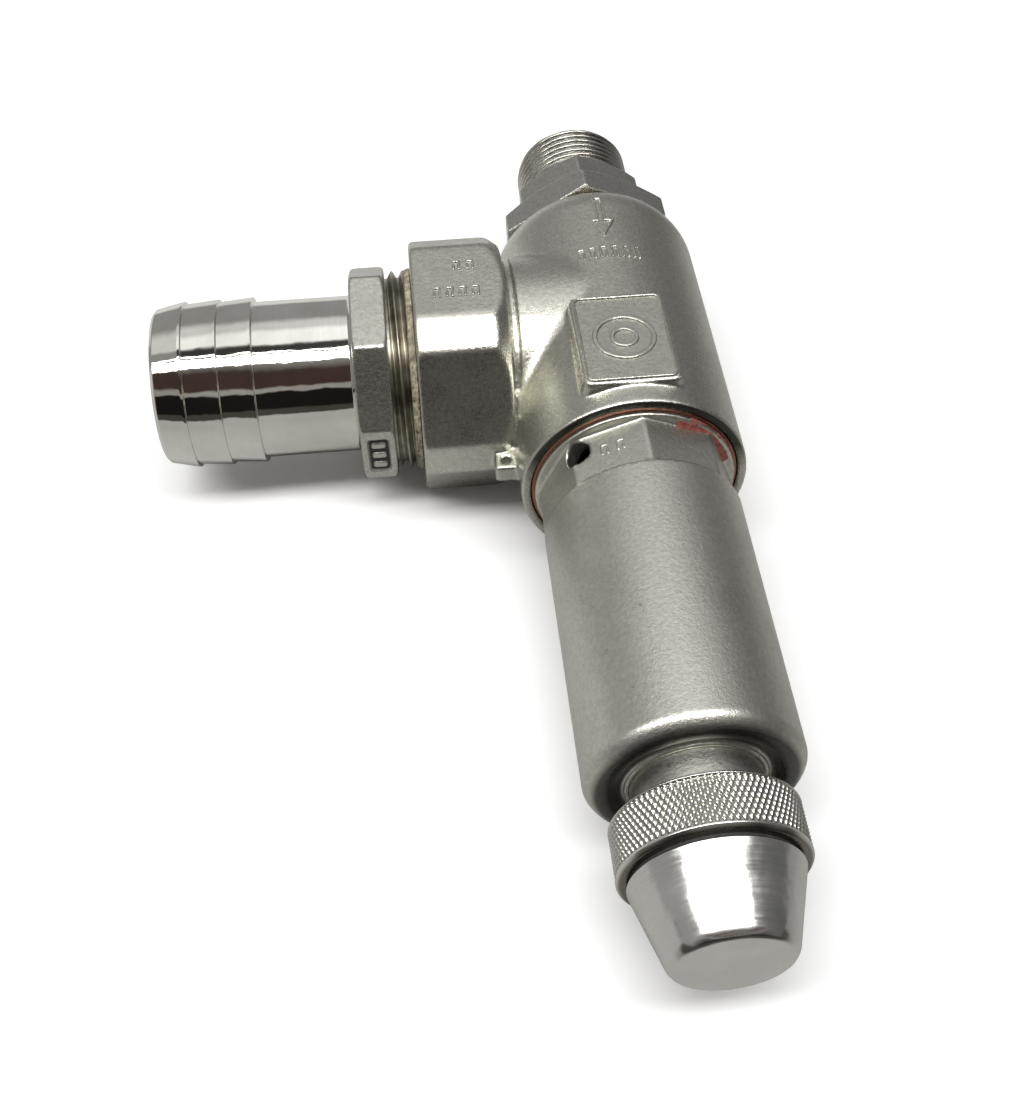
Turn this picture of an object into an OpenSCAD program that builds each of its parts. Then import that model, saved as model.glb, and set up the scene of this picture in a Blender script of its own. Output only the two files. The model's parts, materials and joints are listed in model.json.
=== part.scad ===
// Spring loaded angle pattern pressure relief valve with a barbed hose tail on the outlet.
// It lies on its side: the spindle runs along Y (inlet at +Y), the outlet points along -X, up is +Z.
// Heights named *_y are measured along the spindle from the point where the two flow axes cross.
// Distances named *_s are measured from the same point out along the outlet.

/* [Inlet connector] */
// crest radius of the G 3/4 inlet thread
inlet_thread_r = 13.22; // [10:0.01:20]
// outer end of the inlet thread
inlet_end_y = 66.5; // [60:0.1:75]
// inner end of the inlet thread
inlet_thread_y = 52; // [46:0.1:58]
// radius of the inlet bore
inlet_bore_r = 9; // [6:0.1:11]
// width across flats of the small hexagon
hex_small_af = 27.5; // [24:0.1:32]
// plane where the small hexagon meets the large one
hex_split_y = 40.6; // [38:0.1:46]
// width across flats of the large hexagon
hex_large_af = 36; // [32:0.1:42]
// face of the large hexagon that sits on the body gasket
hex_seat_y = 32.9; // [30:0.1:36]
// turn of both hexagons about the spindle, degrees
hex_turn = -3.5; // [-30:0.5:30]
// plane of the valve seat
seat_y = 14; // [10:0.1:18]

/* [Valve body] */
// outside radius of the body barrel
body_r = 22.7; // [20:0.1:26]
// machined bonnet face of the body
body_face_y = -37.8; // [-42:0.1:-34]
// start of the rounded shoulder
shoulder_y = 23; // [18:0.1:28]
// radius of the rounded shoulder
shoulder_r = 12.5; // [8:0.1:16]
// flat top of the shoulder
body_top_y = 32.3; // [30:0.1:34]
// radius of the flow chamber
chamber_r = 17.8; // [14:0.1:19]
// outside radius of the outlet neck
neck_r = 22.2; // [19:0.1:24]
// inner end of the hexagonal outlet boss
boss_in_s = 22.4; // [20:0.1:26]
// outer face of the hexagonal outlet boss
boss_out_s = 41.4; // [38:0.1:46]
// across the six wide flats of the boss
boss_af = 49.7; // [44:0.1:56]
// across the six narrow flats of the boss
boss_corner_af = 53.2; // [48:0.1:60]
// roll of the boss about the outlet axis, degrees
boss_roll = -3; // [-30:0.5:30]
// radius of the outlet port behind the thread
port_r = 16.5; // [12:0.1:18]
// radius of the G 1 1/4 female thread
port_thread_r = 21.05; // [18:0.01:24]

/* [Bonnet] */
// outside radius of the spring housing
bonnet_r = 19.4; // [16:0.1:24]
// inside radius of the spring housing
bonnet_bore_r = 15.5; // [12:0.1:17]
// width across flats of the spanner octagon
bonnet_af = 35.9; // [30:0.1:40]
// turn of the octagon about the spindle, degrees
bonnet_turn = 1; // [-22:0.5:22]
// end of the spanner flats
flats_end_y = -49.5; // [-60:0.1:-44]
// start of the rounded end of the housing
bonnet_round_y = -104.6; // [-110:0.1:-98]
// radius of the rounded end of the housing
bonnet_round_r = 3; // [1:0.1:8]
// radius of the breather hole
breather_r = 2.8; // [1:0.1:3]

/* [Hose tail] */
// crest radius of the G 1 1/4 male thread
tail_thread_r = 20.955; // [18:0.001:24]
// width across flats of the octagon collar
collar_af = 42.5; // [38:0.1:48]
// turn of the collar about the outlet axis, degrees
collar_turn = 55.5; // [0:0.5:60]
// face of the collar next to the valve
collar_in_s = 46.95; // [44:0.05:50]
// face of the collar next to the hose
collar_out_s = 54.2; // [50:0.1:58]
// outside radius of the plain tube
tube_r = 16.46; // [12:0.01:20]
// outside radius of the barb crests
barb_r = 17.45; // [14:0.1:22]
// start of the first barb
barb_start_s = 74.6; // [70:0.1:80]
// length of one barb
barb_pitch = 7.1; // [5:0.1:9]
// open end of the hose tail
tail_end_s = 95.4; // [90:0.1:100]
// radius of the hose tail bore
tail_bore_r = 14; // [10:0.1:15]

/* [Spindle and spring] */
// radius of the guided part of the spindle
spindle_r = 5; // [4:0.05:7]
// radius of the spindle stem
stem_r = 4; // [3:0.05:5]
// step between the guided part and the stem
spindle_step_y = -46; // [-48:0.1:-40]
// free end of the spindle
spindle_end_y = -133.8; // [-136:0.1:-130]
// radius of the spring wire
wire_r = 1.7; // [1:0.05:2.5]
// mean radius of the spring coil
coil_r = 11.6; // [8:0.1:13]
// number of spring turns
coil_turns = 6.5; // [4:0.5:10]
// spring side of the lower spring plate
spring_low_y = -50; // [-54:0.1:-48]
// spring side of the upper spring plate
spring_high_y = -88; // [-92:0.1:-80]

/* [Lifting cap] */
// outside radius of the threaded neck bush
bush_r = 11.55; // [9:0.05:13]
// running clearance of the knurled ring on the neck bush
ring_gap = 0.08; // [0.02:0.01:0.1]
// outside radius of the knurled ring
ring_r = 16.3; // [14:0.1:20]
// bonnet side of the knurled ring
ring_low_y = -113.85; // [-116:0.05:-112]
// cap side of the knurled ring
ring_high_y = -124; // [-128:0.05:-120]
// radius of the cap at the knurled ring
cap_base_r = 14.8; // [12:0.1:16]
// radius of the cap at its end
cap_tip_r = 10.6; // [8:0.1:13]
// outer end of the cap
cap_end_y = -139.5; // [-144:0.1:-136]

/* [Hidden] */
$fn = 96;
frame_y = (inlet_thread_y + inlet_end_y) / 2;
eps = 0.5;
cast_colour = [0.58, 0.57, 0.53];
steel_colour = [0.72, 0.72, 0.71];
bright_colour = [0.82, 0.82, 0.83];
spigot_r = 15.9;
nose_r = 12.5;
seat_out_r = 11;
seat_depth = 3.5;
nose_drop = 0.6;
guide_y = -25.5;
plate_y = -29.1;
spigot_hole_y = 17.9;
bonnet_thread_r = 18.5;
recess_r = 20.85;
recess_y = -35.8;
rim_r = 20.1;
rim_low_y = -37.4;
rim_high_y = -38.6;
bonnet_wall_y = -99;
bonnet_floor_y = -106.2;
lip_y = -109;
lip_r = 16.4;
barb_root_r = tube_r + 0.45;
bush_end_y = -121;
ring_thread_y = -118.3;
screw_r = 7;
screw_end_y = -125.8;
cap_bore_r = 12;
cap_spigot_r = 13.55;
cap_gap = 0.6;
snap_y = -126;
snap_t = 1.2;
washer_y = snap_y - snap_t;
washer_t = 2;
nut_y = washer_y - washer_t;
nut_t = 3.3;
clip_y = nut_y - nut_t - 0.2;
clip_t = 0.6;

// moves a piece drawn from the axis crossing into the stored frame on the inlet thread
module placed() translate([0, -frame_y, 0]) children();

// stands a piece drawn along +Z along +Y
module along_y() rotate([-90, 0, 0]) children();

// lays a piece drawn along +Z out along the outlet
module along_outlet() rotate([0, -90, 0]) children();

// a body of revolution about the spindle from [radius, y] points
module turned_y(profile) along_y() rotate_extrude() polygon(profile);

// a body of revolution about the outlet axis from [radius, s] points
module turned_s(profile) along_outlet() rotate_extrude() polygon(profile);

// a plain ring about the spindle
module ring_y(outer, inner, low, high)
    turned_y([[inner, low], [outer, low], [outer, high], [inner, high]]);

// a regular prism about the spindle, with one corner turned away from straight up
module prism_y(sides, af, turn, low, high)
    along_y() translate([0, 0, low]) rotate([0, 0, turn - 90])
        cylinder(h = high - low, r = af / 2 / cos(180 / sides), $fn = sides);

// points of an arc with its centre at [cr, cy]
function arc(cr, cy, r, from, to, steps) =
    [for (i = [0 : steps]) let (a = from + (to - from) * i / steps) [cr + r * cos(a), cy + r * sin(a)]];

// corner points of the boss outline, six wide flats and six narrow ones
function boss_outline() =
    let (half_in = boss_af / 2, half_out = boss_corner_af / 2)
    let (reach = (half_in - half_out * cos(30)) / sin(30))
    [for (k = [0 : 5]) for (side = [-1, 1])
        let (a = 30 + 60 * k + boss_roll)
        [half_out * cos(a) - side * reach * sin(a), half_out * sin(a) + side * reach * cos(a)]];

module barrel()
    turned_y(concat([[0, body_face_y], [body_r - 0.9, body_face_y], [body_r, body_face_y + 0.9]],
                    arc(body_r - shoulder_r, shoulder_y, shoulder_r, 0, 48, 10),
                    [[0, body_top_y]]));

module boss()
    intersection() {
        along_outlet() translate([0, 0, boss_in_s])
            linear_extrude(boss_out_s - boss_in_s) polygon(boss_outline());
        turned_s([[0, boss_in_s], [24, boss_in_s], [26.2, boss_in_s + 1.2], [27.4, boss_in_s + 3.4],
                  [27.4, boss_out_s - 1.6], [25.6, boss_out_s], [0, boss_out_s]]);
    }

module neck()
    turned_s([[0, 0], [neck_r, 0], [neck_r, boss_in_s - 1.8], [neck_r - 1, boss_in_s - 1.2],
              [neck_r - 1, boss_in_s + 0.4], [0, boss_in_s + 0.4]]);

// raised rectangular panel on top of the barrel, with rounded corners
module name_pad() {
    pad = [19.0, 25.2];
    corner = 1.4;
    translate([-0.75, -20.45, body_r - 7]) {
        translate([-pad[0] / 2 + corner, -pad[1] / 2, 0]) cube([pad[0] - 2 * corner, pad[1], 7.8]);
        translate([-pad[0] / 2, -pad[1] / 2 + corner, 0]) cube([pad[0], pad[1] - 2 * corner, 7.8]);
        for (x = [-1, 1]) for (y = [-1, 1])
            translate([x * (pad[0] / 2 - corner), y * (pad[1] / 2 - corner), 0])
                cylinder(h = 7.8, r = corner, $fn = 24);
    }
}

// raised flow arrow that points from the inlet towards the bonnet
module flow_arrow()
    translate([0.1, 0, body_r - 3]) linear_extrude(3.45)
        polygon([[-0.85, 25], [0.85, 25], [0.85, 17.2], [2.35, 17.2], [0, 12.3], [-2.35, 17.2], [-0.85, 17.2]]);

// small eye for the seal wire beside the outlet boss
module seal_eye()
    difference() {
        translate([-27.2, -31, -4]) cube([6, 6.5, 4]);
        translate([-24.9, -28.7, -5]) cylinder(h = 6, r = 1.05, $fn = 32);
    }

module body_bores() {
    turned_y([[0, recess_y + 1], [bonnet_thread_r + 0.1, recess_y + 1], [bonnet_thread_r + 0.1, guide_y],
              [chamber_r, guide_y], [chamber_r, spigot_hole_y], [spigot_r + 0.1, spigot_hole_y],
              [spigot_r + 0.1, body_top_y + eps], [0, body_top_y + eps]]);
    turned_y([[0, body_face_y - eps], [recess_r, body_face_y - eps], [recess_r, recess_y],
              [bonnet_thread_r + 0.1, recess_y], [bonnet_thread_r + 0.1, recess_y + 2], [0, recess_y + 2]]);
    turned_s([[0, 0], [port_r, 0], [port_r, 30], [port_thread_r, 30], [port_thread_r, boss_out_s - 0.6],
              [port_thread_r + 0.6, boss_out_s], [port_thread_r + 0.6, boss_out_s + eps],
              [0, boss_out_s + eps]]);
}

module valve_body()
    color(cast_colour) placed() {
        difference() {
            union() {
                barrel();
                neck();
                boss();
                name_pad();
                flow_arrow();
            }
            body_bores();
        }
        seal_eye();
    }

module inlet_connector()
    color(cast_colour) placed()
        difference() {
            union() {
                intersection() {
                    prism_y(6, hex_large_af, hex_turn, hex_seat_y, hex_split_y);
                    turned_y([[0, hex_seat_y], [21.5, hex_seat_y], [21.5, hex_split_y - 1.9],
                              [18, hex_split_y], [0, hex_split_y]]);
                }
                intersection() {
                    prism_y(6, hex_small_af, hex_turn, hex_split_y, inlet_thread_y);
                    turned_y([[0, hex_split_y], [16.2, hex_split_y], [16.2, inlet_thread_y - 1.4],
                              [14.4, inlet_thread_y], [0, inlet_thread_y]]);
                }
                turned_y([[0, inlet_thread_y], [inlet_thread_r, inlet_thread_y],
                          [inlet_thread_r, inlet_end_y - 1.2], [inlet_thread_r - 1.2, inlet_end_y],
                          [0, inlet_end_y]]);
                turned_y([[0, seat_y + nose_drop], [nose_r, seat_y + nose_drop], [nose_r, 18.4],
                          [spigot_r, 18.4], [spigot_r, hex_seat_y], [0, hex_seat_y]]);
            }
            turned_y([[0, seat_y - eps], [seat_out_r + 0.02, seat_y - eps],
                      [seat_out_r + 0.02, seat_y + seat_depth], [inlet_bore_r, seat_y + seat_depth],
                      [inlet_bore_r, inlet_end_y - 1], [inlet_bore_r + 1, inlet_end_y],
                      [inlet_bore_r + 1, inlet_end_y + eps], [0, inlet_end_y + eps]]);
        }

module inlet_gasket()
    color([0.35, 0.3, 0.26]) placed() ring_y(17.6, spigot_r + 0.15, body_top_y, hex_seat_y);

module seat_ring()
    color(bright_colour) placed() ring_y(seat_out_r, inlet_bore_r, seat_y, seat_y + seat_depth);

// one saw tooth barb, high on the side of the collar
function barb(start, crest, root, pitch) = [[crest, start], [crest, start + 0.5], [root, start + pitch]];

module tail_collar()
    intersection() {
        along_outlet() translate([0, 0, collar_in_s]) rotate([0, 0, collar_turn])
            cylinder(h = collar_out_s - collar_in_s, r = collar_af / 2 / cos(22.5), $fn = 8);
        turned_s([[0, collar_in_s], [21.7, collar_in_s], [23.4, collar_in_s + 1], [23.4, collar_out_s - 0.8],
                  [22, collar_out_s], [0, collar_out_s]]);
    }

// shallow recessed panel in one flat of the collar
module collar_panel()
    along_outlet() rotate([0, 0, collar_turn - 157.5])
        translate([collar_af / 2 - 0.5, -6.1, collar_in_s + 1.3]) cube([2, 12.2, 4.4]);

module hose_tail()
    color(bright_colour) placed()
        difference() {
            union() {
                tail_collar();
                turned_s(concat([[0, 31], [tail_thread_r - 1.4, 31], [tail_thread_r, 32.4],
                                 [tail_thread_r, 45.7], [19.6, 46.2], [19.6, collar_in_s + 0.5],
                                 [tube_r, collar_in_s + 0.5], [tube_r, barb_start_s]],
                                barb(barb_start_s, barb_r, barb_root_r, barb_pitch),
                                barb(barb_start_s + barb_pitch, barb_r, barb_root_r, barb_pitch),
                                [[barb_r, barb_start_s + 2 * barb_pitch],
                                 [barb_r, barb_start_s + 2 * barb_pitch + 0.5],
                                 [16.3, tail_end_s - 0.7], [15.6, tail_end_s], [0, tail_end_s]]));
            }
            turned_s([[0, 30], [tail_bore_r, 30], [tail_bore_r, tail_end_s + eps], [0, tail_end_s + eps]]);
            collar_panel();
        }

module thread_sealant()
    color([0.72, 0.67, 0.5]) placed()
        turned_s([[tail_thread_r + 0.01, boss_out_s], [tail_thread_r + 0.6, boss_out_s],
                  [tail_thread_r + 0.3, boss_out_s + 1.6], [tail_thread_r + 0.01, boss_out_s + 1.6]]);

module bonnet_shell()
    turned_y(concat([[0, plate_y], [bonnet_thread_r, plate_y], [bonnet_thread_r, rim_low_y],
                     [rim_r, rim_low_y], [rim_r, rim_high_y + 0.3], [rim_r - 0.3, rim_high_y],
                     [bonnet_r, rim_high_y]],
                    arc(bonnet_r - bonnet_round_r, bonnet_round_y, bonnet_round_r, 0, -45, 8),
                    [[lip_r, lip_y + 0.2], [lip_r - 0.4, lip_y], [lip_r - 0.8, lip_y + 0.1],
                     [14.4, bonnet_floor_y - 0.3], [14, bonnet_floor_y], [0, bonnet_floor_y]]));

// what the milling cutter takes away to leave the spanner octagon
module spanner_flats()
    difference() {
        ring_y(bonnet_r + 3, 5, flats_end_y, rim_high_y - 0.2);
        prism_y(8, bonnet_af, bonnet_turn, flats_end_y - 1, rim_high_y + 1);
    }

module breather_hole()
    translate([0, -41.7, 0]) rotate([0, -42.4, 0]) {
        translate([0, 0, bonnet_bore_r - 2]) cylinder(h = 8, r = breather_r, $fn = 48);
    }

module bonnet()
    color(cast_colour) placed()
        difference() {
            bonnet_shell();
            spanner_flats();
            breather_hole();
            turned_y([[0, plate_y + eps], [bonnet_bore_r, plate_y + eps], [bonnet_bore_r, bonnet_wall_y],
                      [bush_r + 0.05, bonnet_wall_y], [bush_r + 0.05, bonnet_floor_y - 4],
                      [0, bonnet_floor_y - 4]]);
        }

module bonnet_gasket()
    color([0.72, 0.42, 0.28]) placed() ring_y(20.6, bonnet_thread_r + 0.15, rim_low_y, recess_y);

module guide_plate()
    color(steel_colour) placed() ring_y(bonnet_thread_r, 8.2, plate_y, guide_y);

module guide_bush()
    color([0.78, 0.66, 0.38]) placed()
        turned_y([[spindle_r + 0.05, -33], [8.15, -33], [8.15, guide_y], [10, guide_y], [10, guide_y + 1.5],
                  [spindle_r + 0.05, guide_y + 1.5], [spindle_r + 0.05, -25.3], [6.5, -25.3],
                  [6.5, -27.3], [spindle_r + 0.05, -27.3]]);

module stem_oring()
    color([0.08, 0.08, 0.08]) placed()
        along_y() translate([0, 0, -26.3]) rotate_extrude() translate([5.77, 0]) circle(r = 0.7, $fn = 32);

module neck_bush()
    color(steel_colour) placed()
        turned_y([[screw_r + 0.05, -96], [14.2, -96], [14.2, bonnet_wall_y], [bush_r, bonnet_wall_y],
                  [bush_r, bush_end_y + 0.6], [bush_r - 0.6, bush_end_y], [screw_r + 0.05, bush_end_y]]);

// a spring plate with its pilot towards the spring; dir is +1 when the pilot points to the inlet
module spring_plate(face_y, dir, bore)
    turned_y([[bore, face_y - 4 * dir], [13.2, face_y - 4 * dir], [13.2, face_y], [9.2, face_y],
              [9.2, face_y + 2.6 * dir], [8.6, face_y + 3.2 * dir], [bore, face_y + 3.2 * dir]]);

module upper_spring_plate() color(steel_colour) placed() spring_plate(spring_high_y, 1, stem_r + 0.4);

module lower_spring_plate() color(steel_colour) placed() spring_plate(spring_low_y, -1, stem_r + 0.06);

module adjusting_screw()
    color(steel_colour) placed()
        difference() {
            ring_y(screw_r, stem_r + 0.35, screw_end_y, spring_high_y - 4);
            translate([-screw_r - 1, screw_end_y - eps, -1]) cube([2 * screw_r + 2, 3, 2]);
        }

module lock_nut()
    color(steel_colour) placed()
        difference() {
            prism_y(6, 19, 0, bush_end_y - 3.8, bush_end_y);
            ring_y(screw_r + 0.05, 0, bush_end_y - 5, bush_end_y + 1);
        }

// helical spring between the two spring plates
module spring() {
    sides = 10;
    steps = coil_turns * 24;
    low = spring_low_y - wire_r - 0.02;
    high = spring_high_y + wire_r + 0.02;
    points = [for (i = [0 : steps]) for (j = [0 : sides - 1])
        let (turn = 360 * coil_turns * i / steps, a = 360 * j / sides)
        let (rr = coil_r + wire_r * cos(a))
        [rr * cos(turn), low + (high - low) * i / steps + wire_r * sin(a), rr * sin(turn)]];
    skin = [for (i = [0 : steps - 1]) for (j = [0 : sides - 1])
        let (k = (j + 1) % sides)
        [i * sides + j, (i + 1) * sides + j, (i + 1) * sides + k, i * sides + k]];
    ends = [[for (j = [0 : sides - 1]) j], [for (j = [sides - 1 : -1 : 0]) steps * sides + j]];
    color([0.4, 0.4, 0.42]) placed() polyhedron(points, concat(skin, ends));
}

// dab of lacquer that seals the joint between body and bonnet
module seal_lacquer()
    color([0.55, 0.08, 0.07]) placed() along_y() rotate([0, 0, -57]) rotate_extrude(angle = 21)
        polygon([[rim_r + 0.03, -37.5], [recess_r - 0.03, -37.5], [recess_r - 0.03, -38.5], [20.2, -39.3],
                 [19.5, -39.3], [19.5, rim_high_y - 0.02], [rim_r + 0.03, rim_high_y - 0.02]]);

module valve_disc()
    color(steel_colour) placed()
        difference() {
            turned_y([[2.5, 3], [8, 3], [8, 7], [11.4, 8], [12.8, 9.4], [12.8, 13.2], [12, 13.2], [12, 11.6],
                      [2.5, 11.6]]);
            ring_y(spindle_r + 0.02, 0, 2, 8.5);
            translate([-10, 5.5, 0]) rotate([0, 90, 0]) cylinder(h = 20, r = 1.02, $fn = 24);
        }

module disc_seal() color([0.1, 0.1, 0.11]) placed() ring_y(11.95, 4, 11.6, seat_y);

module seal_retainer()
    color(steel_colour) placed()
        turned_y([[2.55, 11.6], [3.95, 11.6], [3.95, seat_y], [8.2, seat_y], [8.2, 14.8], [7.6, 15.4],
                  [2.55, 15.4]]);

module retainer_screw()
    color(steel_colour) placed()
        difference() {
            turned_y([[0, 8.8], [2.45, 8.8], [2.45, 15.4], [4.2, 15.4], [4.2, 17.6], [3.8, 18], [0, 18]]);
            prism_y(6, 3, 0, 16.4, 19);
        }

module drive_pin()
    color(steel_colour) placed() translate([-7.9, 5.5, 0]) rotate([0, 90, 0])
        cylinder(h = 15.8, r = 1, $fn = 24);

module spindle()
    color(bright_colour) placed()
        difference() {
            turned_y([[0, 8.4], [spindle_r - 0.5, 8.4], [spindle_r, 7.9], [spindle_r, spindle_step_y],
                      [stem_r, spindle_step_y], [stem_r, clip_y], [3.2, clip_y], [3.2, clip_y - clip_t],
                      [stem_r, clip_y - clip_t], [stem_r, spindle_end_y + 0.3], [stem_r - 0.3, spindle_end_y],
                      [0, spindle_end_y]]);
            translate([-10, 5.5, 0]) rotate([0, 90, 0]) cylinder(h = 20, r = 1.02, $fn = 24);
        }

module lift_nut()
    color(steel_colour) placed()
        difference() {
            prism_y(6, 13, 0, nut_y - nut_t, nut_y);
            ring_y(stem_r + 0.02, 0, nut_y - nut_t - 1, nut_y + 1);
        }

// a flat retaining ring with a gap, about the spindle
module open_ring(outer, inner, low, high, gap)
    difference() {
        ring_y(outer, inner, low, high);
        translate([-gap / 2, low - 1, 0]) cube([gap, high - low + 2, outer + 1]);
    }

module spindle_clip()
    color([0.3, 0.3, 0.31]) placed() open_ring(5.6, 3.22, clip_y - clip_t + 0.03, clip_y - 0.03, 5);

module lift_washer() color(steel_colour) placed() ring_y(11.65, stem_r + 0.3, nut_y, washer_y);

module knurled_ring()
    color(bright_colour) placed()
        turned_y([[bush_r + ring_gap, ring_low_y], [ring_r - 0.5, ring_low_y], [ring_r, ring_low_y - 0.5],
                  [ring_r, ring_high_y + 0.6], [ring_r - 0.6, ring_high_y], [13.6, ring_high_y],
                  [13.6, ring_thread_y], [bush_r + ring_gap, ring_thread_y]]);

module cap()
    color(bright_colour) placed() {
        low = ring_high_y - cap_gap;
        turned_y(concat([[cap_bore_r, ring_thread_y - 0.3], [cap_spigot_r, ring_thread_y - 0.3],
                         [cap_spigot_r, low], [cap_base_r - 0.3, low], [cap_base_r, low - 0.3]],
                        arc(cap_tip_r - 1.2, cap_end_y + 1.6, 1.2, 0, -90, 5),
                        [[0, cap_end_y], [0, -137.2], [9, -137.2], [9, -131], [cap_bore_r, -131],
                         [cap_bore_r, washer_y - 0.03], [12.7, washer_y - 0.03], [12.7, snap_y + 0.03],
                         [cap_bore_r, snap_y + 0.03]]));
    }

module cap_seal()
    color([0.07, 0.07, 0.07]) placed()
        ring_y(14.2, cap_spigot_r + 0.01, ring_high_y - cap_gap, ring_high_y);

module snap_ring() color([0.3, 0.3, 0.31]) placed() open_ring(12.65, 11, washer_y, snap_y, 6);

valve_body();
inlet_connector();
inlet_gasket();
seat_ring();
hose_tail();
thread_sealant();
bonnet();
bonnet_gasket();
guide_plate();
guide_bush();
stem_oring();
neck_bush();
upper_spring_plate();
adjusting_screw();
lock_nut();
spring();
seal_lacquer();
valve_disc();
disc_seal();
seal_retainer();
retainer_screw();
drive_pin();
spindle();
lower_spring_plate();
lift_nut();
spindle_clip();
lift_washer();
knurled_ring();
cap();
cap_seal();
snap_ring();
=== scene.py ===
# %% [markdown]
# # A pressure relief valve lying on its side
# The real valve is a stainless casting with turned parts screwed into it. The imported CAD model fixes
# where every part is; this lesson gives the parts the fillets, threads, knurl and finishes of the real one.

# %% Load the fixed frame
import json
import math

import bpy
import bmesh
import numpy as np
from mathutils import Matrix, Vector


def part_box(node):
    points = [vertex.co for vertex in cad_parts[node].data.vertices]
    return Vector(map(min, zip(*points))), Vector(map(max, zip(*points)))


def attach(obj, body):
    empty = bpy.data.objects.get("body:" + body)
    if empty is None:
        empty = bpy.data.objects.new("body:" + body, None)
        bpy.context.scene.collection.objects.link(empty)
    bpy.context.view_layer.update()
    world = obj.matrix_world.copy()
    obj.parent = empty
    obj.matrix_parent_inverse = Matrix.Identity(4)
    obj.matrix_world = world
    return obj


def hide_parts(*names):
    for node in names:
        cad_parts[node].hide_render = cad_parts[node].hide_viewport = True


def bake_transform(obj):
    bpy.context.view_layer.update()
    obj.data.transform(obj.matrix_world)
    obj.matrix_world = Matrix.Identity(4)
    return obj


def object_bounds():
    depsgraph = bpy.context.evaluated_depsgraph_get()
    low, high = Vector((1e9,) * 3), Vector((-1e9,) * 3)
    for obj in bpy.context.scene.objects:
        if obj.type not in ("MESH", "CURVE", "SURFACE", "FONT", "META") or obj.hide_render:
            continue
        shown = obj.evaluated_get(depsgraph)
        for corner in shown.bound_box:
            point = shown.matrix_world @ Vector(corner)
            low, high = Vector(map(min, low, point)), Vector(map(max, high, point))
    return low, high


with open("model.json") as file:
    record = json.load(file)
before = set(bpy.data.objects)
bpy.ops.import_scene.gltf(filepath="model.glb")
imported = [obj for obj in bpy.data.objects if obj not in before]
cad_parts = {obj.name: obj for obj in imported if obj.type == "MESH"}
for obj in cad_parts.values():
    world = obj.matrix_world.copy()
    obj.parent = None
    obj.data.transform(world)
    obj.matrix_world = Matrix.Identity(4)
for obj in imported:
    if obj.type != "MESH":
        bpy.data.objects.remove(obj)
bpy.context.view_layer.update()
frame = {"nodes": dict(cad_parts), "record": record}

# %% [markdown]
# ## Working units
# Engineers give this valve's sizes in millimetres from the point where the inlet axis (Y) crosses the
# outlet axis (-X). So each shape is worked out in those units, and one helper carries it to the frame.

# %% Millimetres from the crossing of the two axes
MM = 0.001
mounts = {mount["name"]: mount for mount in frame["record"]["mounts"]}
CROSSING = np.array([0.0, mounts["outlet_bore"]["pos_m"][1], 0.0])


def to_frame(points):
    """Valve millimetres to frame metres: scale, then add the place of the crossing."""
    return np.asarray(points, float) * MM + CROSSING


def span(node):
    """A CAD node's lowest and highest corner in valve millimetres."""
    low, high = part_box(node)
    return (np.array(low) - CROSSING) / MM, (np.array(high) - CROSSING) / MM


inlet_end_y = span("inlet_connector")[1][1]
cap_end_y = span("cap")[0][1]
tail_end_x = span("hose_tail")[0][0]
print("inlet end", inlet_end_y, "cap end", cap_end_y, "tail end", tail_end_x)

# %% [markdown]
# ## From arrays to a mesh
# Every new piece ends as an array of points and an array of four-sided faces. foreach_set copies whole
# arrays into the mesh at once. The signed volume tells whether the faces point outwards.

# %% Build a piece from arrays
def signed_volume(points, quads):
    """Sum over triangles of (a . b x c) / 6, which is positive when the faces point outwards."""
    a, b, c, d = (points[quads[:, i]] for i in range(4))
    return sum(np.einsum("ij,ij->i", a, np.cross(p, q)).sum() for p, q in ((b, c), (c, d))) / 6


def build_piece(name, points, quads, body, material, stands_for=()):
    """Makes a closed, smooth-shaded piece and lets it ride on a body of the frame, or on none yet."""
    if signed_volume(points, quads) < 0:
        quads = quads[:, ::-1]
    mesh = bpy.data.meshes.new(name)
    mesh.vertices.add(len(points))
    mesh.vertices.foreach_set("co", to_frame(points).ravel())
    mesh.loops.add(quads.size)
    mesh.loops.foreach_set("vertex_index", np.ascontiguousarray(quads).ravel().astype(np.int32))
    mesh.polygons.add(len(quads))
    mesh.polygons.foreach_set("loop_start", np.arange(0, quads.size, 4, dtype=np.int32))
    mesh.update(calc_edges=True)
    weld = bmesh.new()
    weld.from_mesh(mesh)
    bmesh.ops.remove_doubles(weld, verts=weld.verts, dist=1e-7)
    weld.to_mesh(mesh)
    weld.free()
    mesh.polygons.foreach_set("use_smooth", np.ones(len(mesh.polygons), bool))
    mesh.materials.append(material)
    piece = bpy.data.objects.new(name, mesh)
    bpy.context.scene.collection.objects.link(piece)
    if body:
        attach(piece, body)
    if stands_for:
        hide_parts(*stands_for)
    print(name, len(mesh.vertices), "points", len(mesh.polygons), "faces")
    return piece


# %% [markdown]
# ## Turned parts
# A lathe part is a closed outline carried round an axis. Real edges are never razor sharp, so each
# corner of the outline is eased with a small curve, with one holding point on either side of it so that
# the smooth shading of the flats is not bent.

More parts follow.
